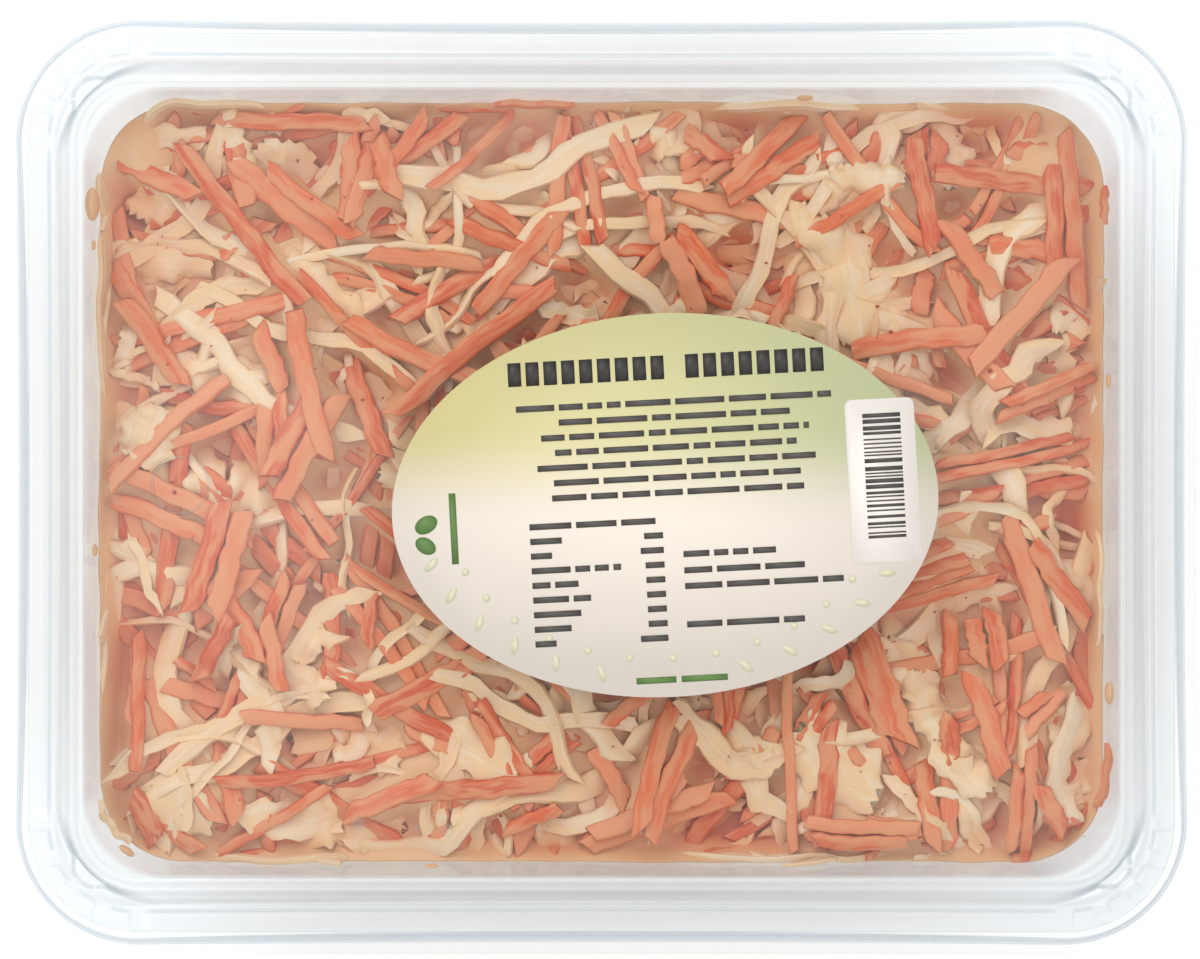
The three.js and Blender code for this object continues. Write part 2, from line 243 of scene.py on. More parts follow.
# Height at which the gaps between the shreds reach their deepest colour, which is painted shade of the gaps
# together with dressing soaked in
DEEPEST_SHADE_LEVEL = 36.5
BED_LEVEL = 37.4
field_x = (np.arange(COLUMNS) + 0.5) * CELL - FIELD_HALF[0]
field_y = (np.arange(ROWS) + 0.5) * CELL - FIELD_HALF[1]
grid_x, grid_y = np.meshgrid(field_x, field_y)


def cells(x, y):
    """Row and column of the bed's cells under these points."""
    column = np.clip(np.floor((x + FIELD_HALF[0]) / CELL).astype(int), 0, COLUMNS - 1)
    row = np.clip(np.floor((y + FIELD_HALF[1]) / CELL).astype(int), 0, ROWS - 1)
    return row, column


def wall_row(height, depth=0):
    """The inner face of the tray's wall at a height, moved into the tray by a depth."""
    share = (height - WALL_FOOT[2]) / (WALL_TOP[2] - WALL_FOOT[2])
    inset = WALL_FOOT[0] + (WALL_TOP[0] - WALL_FOOT[0]) * share + depth
    radius = WALL_FOOT[1] + (WALL_TOP[1] - WALL_FOOT[1]) * share - depth
    return inset, radius, height, 0


def past_wall(x, y, row):
    """How far points lie outside a rounded rectangle, and the way out of it from each."""
    inset, radius = row[:2]
    out_x = np.abs(x) - (PACK_HALF[0] - inset - radius)
    out_y = np.abs(y) - (PACK_HALF[1] - inset - radius)
    corner = np.hypot(np.maximum(out_x, 0), np.maximum(out_y, 0))
    distance = corner + np.minimum(np.maximum(out_x, out_y), 0) - radius
    way_x = np.where(corner > 0, np.maximum(out_x, 0), out_x >= out_y)
    way_y = np.where(corner > 0, np.maximum(out_y, 0), out_x < out_y)
    size = np.hypot(way_x, way_y) + 1e-9
    return distance, way_x / size * np.sign(x), way_y / size * np.sign(y)


def waves(x, y, length, seed, count=7):
    """A smooth uneven field from about -1 to 1, with waves of about this length."""
    draw = np.random.default_rng(seed)
    total = 0
    for _ in range(count):
        turn, phase = draw.uniform(0, 2 * math.pi, 2)
        reach = length * draw.uniform(0.7, 1.5)
        total = total + np.sin((x * math.cos(turn) + y * math.sin(turn)) * 2 * math.pi / reach + phase)
    return total / math.sqrt(count)


def blurred(field, times):
    """The field after each cell has been averaged with its neighbours some times."""
    for _ in range(times):
        padded = np.pad(field, 1, mode="edge")
        field = (padded[1:-1, 1:-1] * 2 + padded[:-2, 1:-1] + padded[2:, 1:-1]
                 + padded[1:-1, :-2] + padded[1:-1, 2:]) / 6
    return field


# How the shreds lie
# A machine cuts them, and they are stirred with the dressing and tipped in. Each is dropped on a
# bed of small cells and rests on what it meets: a carrot stick stays straight, cabbage drapes.
draw = np.random.default_rng(1974)
bed = BED_LEVEL + 0.8 * waves(grid_x, grid_y, 28, 5)
# Sizes in mm. Turn and wave bend the line seen from above, cup and ripple shape it across and along,
# ragged and slant shape its edges and ends, and droop is how far it sags between contacts.
CARROT = {"length": (9, 37), "width": (2.0, 4.2), "thickness": (1.4, 2.4), "turn": 0.18, "wave": 0.03,
          "cup": 0, "ripple": 0.15, "ragged": 0.12, "slant": 0.4, "stations": 13, "droop": 0}
CABBAGE = {"length": (9, 56), "width": (1.5, 5.6), "thickness": (0.8, 1.4), "turn": 1.1, "wave": 0.3,
           "cup": 0.4, "ripple": 0.3, "ragged": 0.22, "slant": 0.6, "stations": 16, "droop": 0.06}
LEAF = {"length": (9, 27), "width": (4.5, 12), "thickness": (0.8, 1.2), "turn": 0.5, "wave": 0.15,
        "cup": 1.0, "ripple": 0.7, "ragged": 0.12, "slant": 0.12, "stations": 18, "droop": 0.04}
HIGHEST = 47
MOUTH = wall_row(LEVEL)


def line_in_plan(kind, middle, heading, length, turn, wave):
    """A shred's middle line seen from above."""
    share = np.linspace(-0.5, 0.5, kind["stations"])
    phase = draw.uniform(0, 2 * math.pi)
    way = heading + turn * share + wave * np.sin(share * 9 + phase)
    step = length / (kind["stations"] - 1)
    x = np.cumsum(np.cos(way)) * step
    y = np.cumsum(np.sin(way)) * step
    return x - (x[0] + x[-1]) / 2 + middle[0], y - (y[0] + y[-1]) / 2 + middle[1]


def kept_in(x, y, margin, stiff):
    """The line moved inside the wall: a stiff one as a whole, a soft one point by point."""
    for _ in range(4):
        out, way_x, way_y = past_wall(x, y, MOUTH)
        push = np.maximum(out + margin, 0)
        if stiff:
            worst = np.argmax(push)
            x = x - push[worst] * way_x[worst]
            y = y - push[worst] * way_y[worst]
        else:
            x = x - push * way_x
            y = y - push * way_y
    return x, y


def bed_under(x, y, side_x, side_y, half):
    """Highest, mean, left and right height of the bed across a shred at each point of its line."""
    across = [bed[cells(x + side_x * half * t, y + side_y * half * t)] for t in (-0.8, -0.4, 0, 0.4, 0.8)]
    return np.max(across, axis=0), np.mean(across, axis=0), across[0], across[-1]


def rest(kind, along, contact):
    """Heights at which a shred comes to rest on its contacts."""
    if kind["droop"] == 0:
        slopes = np.linspace(-0.22, 0.22, 45)
        lifts = [np.max(contact - slope * along) for slope in slopes]
        best = int(np.argmin(lifts))
        return lifts[best] + slopes[best] * along
    height = contact.copy()
    for _ in range(26):
        spanned = (height[:-2] + height[2:]) / 2 - kind["droop"]
        height[1:-1] = np.maximum(contact[1:-1] - 0.3, spanned)
        height[0] = max(contact[0] - 0.4, height[1] - 0.25)
        height[-1] = max(contact[-1] - 0.4, height[-2] - 0.25)
    return height


def drop(kind, middle, heading, length, width, thickness, turn, wave, sink=0.8):
    """Drops one shred on the bed, raises the bed by it, and returns its line and size."""
    x, y = line_in_plan(kind, middle, heading, length, turn, wave)
    x, y = kept_in(x, y, width / 2 + 0.6, kind["droop"] == 0)
    along = np.linspace(-0.5, 0.5, kind["stations"]) * length
    way = np.unwrap(np.arctan2(np.gradient(y), np.gradient(x)))
    side_x, side_y = -np.sin(way), np.cos(way)
    highest, mean, left, right = bed_under(x, y, side_x, side_y, width / 2)
    contact = 0.6 * highest + 0.4 * mean
    height = rest(kind, along, contact) + thickness / 2 - sink
    height = height - max(0, height.max() + thickness / 2 - HIGHEST)
    roll = np.clip((right - left).mean() / width * 0.5, -0.35, 0.35) + draw.normal(0, 0.12)
    roll = roll + (draw.normal(0, 0.35) * np.sin(along * 0.12) if kind is CABBAGE else 0)
    fine = np.linspace(0, kind["stations"] - 1, int(length / CELL * 1.6))
    steps = np.arange(kind["stations"])
    for t in np.linspace(-1, 1, max(5, int(width / CELL * 1.5))):
        place_x = np.interp(fine, steps, x + side_x * width / 2 * t)
        place_y = np.interp(fine, steps, y + side_y * width / 2 * t)
        top = np.interp(fine, steps, height + roll * width / 2 * t) + thickness * (0.5 - 0.15 * t ** 4)
        np.maximum.at(bed, cells(place_x, place_y), top)
    middle_line = np.stack([x, y, height], axis=1)
    side = np.stack([side_x * np.cos(roll), side_y * np.cos(roll), np.sin(roll) + 0 * x], axis=1)
    return {"line": middle_line, "side": side, "width": width, "thickness": thickness,
            "length": length, "facing": np.tile([0.0, 0.0, 1.0], (len(x), 1)), "buried": 1}


def free_place(margin, tries=3):
    """The lowest of a few places drawn at random inside the wall."""
    best = None
    for _ in range(tries):
        x = draw.uniform(-1, 1) * (PACK_HALF[0] - MOUTH[0] - margin)
        y = draw.uniform(-1, 1) * (PACK_HALF[1] - MOUTH[0] - margin)
        near = bed[cells(x + 4 * np.cos(np.arange(6)), y + 4 * np.sin(np.arange(6)))].mean()
        if best is None or near < best[0]:
            best = (near, x, y)
    return best[1:]


def drop_any(kind):
    """Drops a shred of a kind with its place, direction, size and bend drawn at random."""
    width, thickness = [draw.uniform(*kind[size]) for size in ("width", "thickness")]
    shortest, longest = kind["length"]
    length = shortest + (longest - shortest) * draw.uniform() ** 1.6
    turn = draw.normal(0, kind["turn"])
    place, heading = free_place(4), draw.uniform(0, math.pi)
    dropped = [drop(kind, place, heading, length, width, thickness, turn, kind["wave"])]
    if kind is CARROT and draw.uniform() < BUNDLED:
        beside = (place[0] - math.sin(heading) * width * 1.1, place[1] + math.cos(heading) * width * 1.1)
        dropped.append(drop(kind, beside, heading + draw.normal(0, 0.12), length * draw.uniform(0.6, 1.1),
                            width, thickness, turn, kind["wave"]))
    return dropped


BUNDLED = 0.35
kinds = {"carrot": CARROT, "cabbage": CABBAGE, "leaf": LEAF}
shreds = {name: [] for name in kinds}
HEAP_COUNT = {"carrot": 330, "cabbage": 400, "leaf": 100}
order = draw.permutation([name for name, count in HEAP_COUNT.items() for _ in range(count)])
for name in order:
    shreds[name] += drop_any(kinds[name])

# The largest shreds on top, each from one end to the other in plan, with its width and total bend
ON_TOP = [
    ("carrot", (-93, 62), (-78, 55), 4.2, 0), ("carrot", (-74, 70), (-45, 69), 3.6, 0.05),
    ("carrot", (-98, 41), (-90, 28), 4.2, -0.2), ("carrot", (-92, 35), (-81, 19), 4.6, -0.2),
    ("cabbage", (-72, 71), (-68, 60), 4.8, 0.1), ("carrot", (-70, 62), (-51, 46), 4.8, 0.3),
    ("carrot", (-64, 60), (-47, 47), 3.9, 0.1), ("carrot", (-80.5, 65), (-57, 34.5), 4.0, 0.15),
    ("cabbage", (-94, 43), (-63, 39), 3.5, -1.1), ("carrot", (-44, 65), (-48, 50), 3.8, 0),
    ("carrot", (-43, 66), (-40, 55), 4.4, 0), ("cabbage", (-60, 42), (-23, 44), 2.2, -0.5),
    ("carrot", (-45, 44), (-23, 42), 3.4, 0), ("carrot", (-66, 30), (-61, 18), 4.2, 0.1),
    ("carrot", (-59, 33), (-53, 5), 4.4, 0.12), ("carrot", (-9, 38), (-40, 13), 4.2, 0.1),
    ("carrot", (-8, 52), (-24, 33), 4.0, 0), ("cabbage", (-20, 39), (20, 57), 3.2, -1.3),
    ("cabbage", (-12, 46), (24, 49), 2.8, -0.6), ("carrot", (10, 55), (11, 46), 3.6, 0),
    ("carrot", (60, 66), (64, 45), 4.2, 0.1), ("cabbage", (55, 62), (60, 44), 2.2, 0.9),
    ("carrot", (90, 43), (71, 22), 4.6, 0), ("carrot", (66, 50), (76, 36), 4.2, 0),
    ("leaf", (38, 52), (52, 40), 9, 0.2), ("leaf", (44, 60), (58, 58), 7, 0.4),
    ("cabbage", (74, -9), (89, -22), 2.4, -1.9), ("carrot", (84, -12), (95, -27), 4.4, 0),
    ("carrot", (50, -30), (57.5, -50), 7.5, 0), ("leaf", (60, -36), (65, -49), 8, 0.2),
    ("carrot", (71, -37), (77, -56), 4.6, -0.1), ("leaf", (38, -47), (53, -60), 15, 0.2),
    ("leaf", (64, -49), (75, -59), 9, 0.3), ("cabbage", (55.5, -56), (67, -68), 3.4, 0.4),
    ("carrot", (-69, -45), (-46, -46.5), 3.2, 0), ("carrot", (-39, -60), (-8.5, -57.5), 4.2, 0),
    ("carrot", (-49, -64), (-32, -57), 4.4, 0), ("carrot", (-64.5, -26), (-61.5, -40), 3.6, 0),
    ("cabbage", (-94, -58), (-65, -51), 3.0, -1.5), ("cabbage", (-53, -37), (-45, -46), 2.3, -2.4),
    ("leaf", (-33, -47), (-16, -55), 10, 0.2), ("leaf", (-70, -64), (-50, -65), 8, 0.2),
]


def drop_between(name, start, end, width, turn):
    """Drops a shred so that its ends come to lie over two points."""
    run = (end[0] - start[0], end[1] - start[1])
    length = math.hypot(*run) * (turn / 2) / math.sin(turn / 2) if turn else math.hypot(*run)
    middle = ((start[0] + end[0]) / 2, (start[1] + end[1]) / 2)
    thickness = draw.uniform(*kinds[name]["thickness"])
    width *= 0.9
    return drop(kinds[name], middle, math.atan2(run[1], run[0]), length, width, thickness, turn, 0.04, 1.1)


for name, start, end, width, turn in ON_TOP:
    shreds[name].append(drop_between(name, start, end, width, turn))

# Shreds at the wall
# The rest of the salad stands behind the clear wall, and what touches it is pressed flat there.
PRESSED = 0.12
# Length of the wall once round at the food's level
GIRTH = 620
WALL_COUNT = {"carrot": 120, "cabbage": 150, "leaf": 22}


def wall_point(share, height, depth):
    """Points on the inner face of the wall at a share of the way round, moved inwards by a depth."""
    steps = np.linspace(0, 2 * math.pi, 721)
    plan_x, plan_y = 150 * np.cos(steps), 150 * np.sin(steps)
    for _ in range(6):
        out, way_x, way_y = past_wall(plan_x, plan_y, MOUTH)
        plan_x, plan_y = plan_x - out * way_x, plan_y - out * way_y
    run = np.concatenate([[0], np.cumsum(np.hypot(np.diff(plan_x), np.diff(plan_y)))])
    at = (np.asarray(share) % 1) * run[-1]
    x, y = np.interp(at, run, plan_x), np.interp(at, run, plan_y)
    # The corners are rounder lower down, so the point is moved to the wall as it is at its own height
    for _ in range(4):
        out, way_x, way_y = past_wall(x, y, wall_row(height))
        x, y = x - out * way_x, y - out * way_y
    lean = (WALL_FOOT[0] - WALL_TOP[0]) / (WALL_TOP[2] - WALL_FOOT[2])
    facing = np.stack([way_x, way_y, -lean + 0 * way_x], axis=-1)
    return np.stack([x - way_x * depth, y - way_y * depth, height], axis=-1), facing


def press(kind, share, height, lean, length, width, thickness, depth, highest=LEVEL + 1.5):
    """A shred that lies against the wall, round a corner too."""
    along = np.linspace(-0.5, 0.5, kind["stations"]) * length
    bend = draw.normal(0, kind["turn"]) * length * 0.12
    rise = along * math.sin(lean) + bend * (1 - (2 * along / length) ** 2)
    rise = np.clip(rise, WALL_FOOT[2] + width / 2 - height, highest - height)
    line, facing = wall_point(share + along * math.cos(lean) / GIRTH, height + rise, thickness / 2 - depth)
    ahead = np.gradient(line, axis=0)
    side = np.cross(facing, ahead)
    side /= np.linalg.norm(side, axis=1, keepdims=True)
    return {"line": line, "side": side, "width": width, "thickness": thickness, "length": length,
            "facing": facing, "buried": 0}


for name, count in WALL_COUNT.items():
    kind = kinds[name]
    for place in range(count):
        width = draw.uniform(*kind["width"])
        lean = draw.normal(0, 0.4)
        length = draw.uniform(16, kind["length"][1])
        reach = abs(math.sin(lean)) * length / 2 + width / 2
        height = draw.uniform(WALL_FOOT[2] + min(reach, 17), LEVEL - 0.5 - min(reach, 17) * 0.8)
        shreds[name].append(press(kind, (place + draw.uniform()) / count, height, lean, length, width,
                                  draw.uniform(*kind["thickness"]), PRESSED * draw.uniform(0.5, 1.4)))

# A few stuck to the wall above the rest: share of the way round, height, lean, length, width
STUCK = [("carrot", 0.082, 45, 0, 5.7, 2.4), ("carrot", 0.913, 45.5, 0.42, 12.5, 3.0),
         ("cabbage", 0.602, 44.5, -0.3, 9, 1.8), ("carrot", 0.27, 43.6, 0.1, 14, 2.6)]
for name, share, height, lean, length, width in STUCK:
    shreds[name].append(press(kinds[name], share, height, lean, length, width, 1.2, 0, 50))

# The shreds as meshes
# Carrot is cut in sticks with an oblong section and slanting ends. Cabbage is cut across the
# head, so that its ribbons are thin, cupped and ragged, and a few pieces stay as broad leaf.
STICK = [(1, 0.5), (0.93, 0.86), (0.74, 1), (-0.74, 1), (-0.93, 0.86), (-1, 0.5),
         (-1, -0.5), (-0.93, -0.86), (-0.74, -1), (0.74, -1), (0.93, -0.86), (1, -0.5)]
RIBBON = [(1, 0.2), (0.86, 1), (0.35, 1), (-0.35, 1), (-0.86, 1),
          (-1, -0.2), (-0.86, -1), (-0.35, -1), (0.35, -1), (0.86, -1)]
BLADE = [(1, 0), *[(t, 1) for t in (0.8, 0.5, 0.17, -0.17, -0.5, -0.8)],
         (-1, 0), *[(t, -1) for t in (-0.8, -0.5, -0.17, 0.17, 0.5, 0.8)]]
FIBRE_RELIEF = 0.12


def skinned(kind, section, items):
    """Points of all shreds of a kind: shred, station, place round the section, and x, y, z."""
    across = np.array([point[0] for point in section])
    rise = np.array([point[1] for point in section])
    many, stations = len(items), kind["stations"]
    line = np.array([item["line"] for item in items])
    side = np.array([item["side"] for item in items])
    size = {name: np.array([item[name] for item in items])[:, None, None]
            for name in ("width", "thickness", "length")}
    ahead = np.gradient(line, axis=1)
    ahead /= np.linalg.norm(ahead, axis=2, keepdims=True)
    up = np.cross(ahead, side)
    up *= np.sign(np.sum(up * np.array([item["facing"] for item in items]), axis=2, keepdims=True))
    share = np.linspace(0, 1, stations)[None, :, None]
    seed = np.arange(many)[:, None, None] * 12.9
    edge = np.sign(across) * 1.7
    uneven = (np.sin(share * 23 + seed + edge * 3) + np.sin(share * 29 + seed * 1.7 + edge * 5)
              + np.sin(share * 11 + seed * 0.6 + edge)) * kind["ragged"] / 1.5
    ends = np.minimum(share, 1 - share) * (stations - 1)
    taper = np.clip(0.85 + 0.15 * ends, 0, 1) if kind is not LEAF else np.clip(0.55 + 0.45 * ends / 4, 0, 1)
    half = size["width"] / 2 * taper * (1 + uneven) * np.abs(across)
    thin = size["thickness"] / 2 * np.clip(0.8 + 0.2 * ends, 0, 1)
    wave_up = kind["ripple"] * np.sin(share * 14 + seed) * (1 if kind is not LEAF else 0.4 + across)
    lift = rise * thin - kind["cup"] * (across ** 2 - 0.5) * np.sin(seed) + wave_up
    slant = np.sin(seed * 3.1 + np.where(share > 0.5, 2.0, 0.0)) * size["width"] * kind["slant"]
    jag = np.sin(across * 9 + seed) * kind["ragged"] * size["width"] * 0.5
    near_end = np.clip(1 - ends / 2.5, 0, 1)
    forward = (slant * across + jag) * near_end
    offset_side = (half * np.sign(across))[..., None] * side[:, :, None, :]
    return (line[:, :, None, :] + offset_side + lift[..., None] * up[:, :, None, :]
            + forward[..., None] * ahead[:, :, None, :])


def joined(name, kind, section, items, material):
    """One piece from all shreds of a kind, with where each point lies in its shred kept for the grain."""
    points = skinned(kind, section, items)
    many, stations, round_count = points.shape[:3]
    first = (np.arange(many)[:, None, None] * stations + np.arange(stations - 1)[:, None]) * round_count
    here = np.arange(round_count)
    after = (here + 1) % round_count
    near, far = first + here, first + after
    quads = np.stack([near, far, far + round_count, near + round_count], -1)
    starts = np.arange(many)[:, None] * stations * round_count + here
    ends = starts + (stations - 1) * round_count
    faces = [*quads.reshape(-1, 4).tolist(), *starts[:, ::-1].tolist(), *ends.tolist()]
    data = bpy.data.meshes.new(name)
    data.from_pydata((points.reshape(-1, 3) * MM).tolist(), [], faces)
    mesh = bmesh.new()
    mesh.from_mesh(data)
    bmesh.ops.recalc_face_normals(mesh, faces=mesh.faces)
    mesh.to_mesh(data)
    mesh.free()
    length, width, buried = [
        np.array([item[size] for item in items])[:, None, None] for size in ("length", "width", "buried")
    ]
    across = np.array([point[0] for point in section])
    grain = np.zeros(points.shape, np.float32)
    grain[..., 0] = np.linspace(0, 1, stations)[:, None] * length
    grain[..., 1] = across * width / 2
    grain[..., 2] = np.arange(many)[:, None, None] * 7.3
    data.attributes.new("grain", "FLOAT_VECTOR", "POINT").data.foreach_set("vector", grain.ravel())
    tint = draw.uniform(0, 1, many)[:, None, None]
    # The edge mask also places painted shade along each shred's sides
    for kept, values in (("edge", np.abs(across) ** 4), ("buried", buried), ("tint", tint)):
        at_points = np.broadcast_to(values, points.shape[:3]).astype(np.float32)
        data.attributes.new(kept, "FLOAT", "POINT").data.foreach_set("value", at_points.ravel())
    piece = as_piece(data, name, material)
    data.set_sharp_from_angle(angle=math.radians(50))
    return piece


def dressed_shred(name, flesh, fibre, cut, film, deep_shade, film_scale, gloss):
    """Cut vegetable under a film of dressing: tones that differ from shred to shred, fibres along the
    cut, cut edges darker partly by their own colour and partly by painted shade, film in patches, and a
    deeper colour low in the heap that is partly dressing soaked in and partly painted shade of the gaps."""
    material, tree, place = bare_material(name)
    grain = add(tree, "Attribute", {"attribute_name": "grain"}).outputs["Vector"]
    tint = add(tree, "Attribute", {"attribute_name": "tint"}).outputs["Fac"]
    edge = add(tree, "Attribute", {"attribute_name": "edge"}).outputs["Fac"]
    tones = add(tree, "ValToRGB", None, {"Fac": tint})
    for place_on_ramp, code in enumerate(flesh):
        share = place_on_ramp / (len(flesh) - 1)
        elements = tones.color_ramp.elements
        stop = elements[0] if share == 0 else elements[-1] if share == 1 else elements.new(share)
        stop.color = colour(code)
    stretched = add(tree, "Mapping", {"Scale": (0.12, 1.1, 1)}, {"Vector": grain})
    fibres = add(tree, "TexNoise", {"Scale": 1.4, "Detail": 1},
                 {"Vector": stretched})
    streak = add(tree, "MapRange", {"From Min": 0.4, "From Max": 0.75, "To Max": 0.6},
                 {"Value": fibres})
    vegetable = add(tree, "MixRGB", {"Color2": colour(fibre)},
                    {"Fac": streak, "Color1": tones})
    # Painted shade: each shred darkens towards its edges, partly the cut face's own deeper colour and partly
    # shade standing in for the crevices between shreds
    rim = add(tree, "Math", {"operation": "MULTIPLY", 1: 0.45}, {0: edge})
    cut_edge_and_shade = add(tree, "MixRGB", {"Color2": colour(cut)},
                   {"Fac": rim, "Color1": vegetable})
    smeared = add(tree, "Mapping", {"Scale": (0.5 / film_scale, 1.7 / film_scale, 1)},
                  {"Vector": grain})
    coat = add(tree, "TexNoise", {"Scale": 2, "Detail": 2}, {"Vector": smeared})
    coated = add(tree, "MapRange",
                 {"From Min": 0.44, "From Max": 0.58, "To Min": 0.05, "To Max": 0.8},
                 {"Value": coat})
    over = add(tree, "MixRGB", {"Color2": colour(film)},
               {"Fac": coated, "Color1": cut_edge_and_shade})
    # Painted shade: lower in the heap a shred turns to its deep colour, which stands for shade between the
    # shreds as well as dressing soaked in
    height = add(tree, "SeparateXYZ", None, {"Vector": place}).outputs["Z"]
    depth = add(tree, "MapRange", {
        "From Min": DEEPEST_SHADE_LEVEL * MM, "From Max": LEVEL * MM, "To Min": 0.85, "To Max": 0,
    }, {"Value": height})
    buried = add(tree, "Attribute", {"attribute_name": "buried"}).outputs["Fac"]
    sunk = add(tree, "Math", {"operation": "MULTIPLY"}, {0: depth, 1: buried})
    body = add(tree, "MixRGB", {"Color2": colour(deep_shade)},
               {"Fac": sunk, "Color1": over})
    bump = add(tree, "Bump", {"Strength": 0.7, "Distance": FIBRE_RELIEF * MM},
               {"Height": fibres})
    skin = add(tree, "BsdfPrincipled", {"Roughness": gloss, "IOR": 1.42},
               {"Base Color": body, "Normal": bump})
    add(tree, "OutputMaterial", None, {"Surface": skin})
    return material


# The deep colours below are painted shade low in the heap, mixed with dressing soaked in; the cut colours
# are the cut edges' own colour together with painted shade along the sides
carrot_flesh = dressed_shred(
    "dressed_carrot", flesh=["#CC4008", "#DE581C", "#E4703E", "#EC986C"], fibre="#EE9C6C", cut="#D85018",
    film="#E49464", deep_shade="#CC4210", film_scale=8, gloss=0.34,
)
cabbage_flesh = dressed_shred(
    "dressed_cabbage", flesh=["#E8B488", "#EEC69C", "#F1D3B0", "#EABB92"], fibre="#F6DCC0", cut="#E4AA78",
    film="#F2C592", deep_shade="#E27E40", film_scale=9, gloss=0.34,
)
leaf_flesh = dressed_shred(
    "dressed_cabbage_leaf", flesh=["#E8BC92", "#EECA9E", "#F0D0AC"], fibre="#F5DABC", cut="#E2A876",
    film="#F0C08C", deep_shade="#E27E40", film_scale=10, gloss=0.32,
)
carrots = joined("carrot_shreds", CARROT, STICK, shreds["carrot"], carrot_flesh)
cabbages = joined("cabbage_shreds", CABBAGE, RIBBON, shreds["cabbage"], cabbage_flesh)
leaves = joined("cabbage_leaves", LEAF, BLADE, shreds["leaf"], leaf_flesh)

# The dressing between them
# It stands a little below the shreds, higher where it has run together, and up the wall as a film.
POOL_DEPTH = 1.8
RING_INSETS = [0, 0.35, 0.8, 1.4, 2.2, 3.2, 4.4]
RING_COUNT = 56
smooth_bed = blurred(bed, 14)
patches = waves(grid_x, grid_y, 34, 11)
surface = smooth_bed - POOL_DEPTH + 0.6 * np.clip(patches, -1, 1.2)
# Where it has run together: middle, reach and rise
POOLS = [((-90, 64), 7, 4), ((83, 63), 8, 2.5), ((-38, -58), 9, 1.4), ((60, -24), 9, 1.2)]
for middle, reach, rise in POOLS:
    surface += rise * np.exp(-np.hypot(grid_x - middle[0], grid_y - middle[1]) ** 2 / reach ** 2)
to_wall = -past_wall(grid_x, grid_y, MOUTH)[0]
rim_share = np.clip(1 - to_wall / 5, 0, 1) ** 1.3
surface = surface * (1 - rim_share) + (LEVEL - 0.3) * rim_share


def sampled(field, x, y):
    """The field between its cells' middles."""
    column = np.clip((x + FIELD_HALF[0]) / CELL - 0.5, 0, COLUMNS - 1.001)
    row = np.clip((y + FIELD_HALF[1]) / CELL - 0.5, 0, ROWS - 1.001)
    left, low = column.astype(int), row.astype(int)
    across, upwards = column - left, row - low
    lower = field[low, left] * (1 - across) + field[low, left + 1] * across
    upper = field[low + 1, left] * (1 - across) + field[low + 1, left + 1] * across
    return lower * (1 - upwards) + upper * upwards


def dressing_body():
    """The closed body of the dressing: base, wall, film on the wall, and its uneven top."""
    pressed = [(row[0] - 0.1, row[1] + 0.1, row[2] - 0.1, 0) for row in (*BASE_PROFILE, WALL_FOOT)]
    sides = [wall_row(height, -0.1) for height in np.linspace(10, LEVEL - 1.5, 6)]
    rim = [wall_row(LEVEL, depth - 0.1) for depth in RING_INSETS]
    inner = [(*rim[-1], 1 - part / RING_COUNT) for part in range(1, RING_COUNT)]
    mesh, rings = lofted([*pressed, *sides, *rim, *inner], 20, 75, crowding=1)
    bmesh.ops.edgeloop_fill(mesh, edges=rings[0])
    bmesh.ops.edgeloop_fill(mesh, edges=rings[-1])
    bmesh.ops.recalc_face_normals(mesh, faces=mesh.faces)
    top = [vert for vert in mesh.verts if vert.co.z > LEVEL - 0.01]
    x = np.array([vert.co.x for vert in top])
    y = np.array([vert.co.y for vert in top])
    out, way_x, way_y = past_wall(x, y, MOUTH)
    lift = 0.6 + 0.9 * waves(x, y, 45, 21) + 0.4 * waves(x, y, 13, 22)
    film = np.clip(1 + (out - 0.1) / 1.5, 0, 1) ** 2 * np.clip(lift, 0.1, 4)
    lean = (WALL_FOOT[0] - WALL_TOP[0]) / (WALL_TOP[2] - WALL_FOOT[2])
    height = sampled(surface, x, y)
    for vert, up, base, turn_x, turn_y in zip(top, film, height, way_x, way_y):
        vert.co.z = base + up
        vert.co.x += turn_x * lean * (vert.co.z - LEVEL)
        vert.co.y += turn_y * lean * (vert.co.z - LEVEL)
    return mesh


def mayonnaise(name):
    """Spiced mayonnaise: an emulsion, so pale, soft and opaque with a wet gloss, and more orange
    deep between the shreds, partly where its oil has settled and partly as painted shade in the gaps."""
    material, tree, place = bare_material(name)
    height = add(tree, "SeparateXYZ", None, {"Vector": place}).outputs["Z"]
    # Painted shade: low, upward-facing dressing turns deep orange, partly settled oil and partly shade
    # between the shreds
    depth = add(tree, "MapRange", {"From Min": (LEVEL - 1) * MM, "From Max": DEEPEST_SHADE_LEVEL * MM}, {"Value": height})
    upward = add(tree, "SeparateXYZ", None,
                 {"Vector": add(tree, "NewGeometry").outputs["Normal"]}).outputs["Z"]
    open_top = add(tree, "MapRange", {"From Min": 0.2, "From Max": 0.6}, {"Value": upward})
    settled_and_shaded = add(tree, "Math", {"operation": "MULTIPLY"},
                  {0: depth, 1: open_top})
    patchy = add(tree, "TexNoise", {"Scale": 1 / (12 * MM), "Detail": 1}, {"Vector": place})
    cream = add(tree, "MixRGB", {"Color1": colour("#EABA8A"), "Color2": colour("#E3A06A")},
                {"Fac": patchy})
    body = add(tree, "MixRGB", {"Color2": colour("#D9663A")},
               {"Fac": settled_and_shaded, "Color1": cream})
    fine = add(tree, "TexNoise", {"Scale": 1 / (2.5 * MM), "Detail": 1}, {"Vector": place})
    bump = add(tree, "Bump", {"Strength": 0.5, "Distance": 0.25 * MM},
               {"Height": fine})
    skin = add(tree, "BsdfPrincipled", {
        "Roughness": 0.3,
        "IOR": 1.46,
    }, {"Base Color": body, "Normal": bump})
    add(tree, "OutputMaterial", None, {"Surface": skin})
    return material


dressing = finish_piece(dressing_body(), "dressing", mayonnaise("spiced_mayonnaise"))
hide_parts("coleslaw")

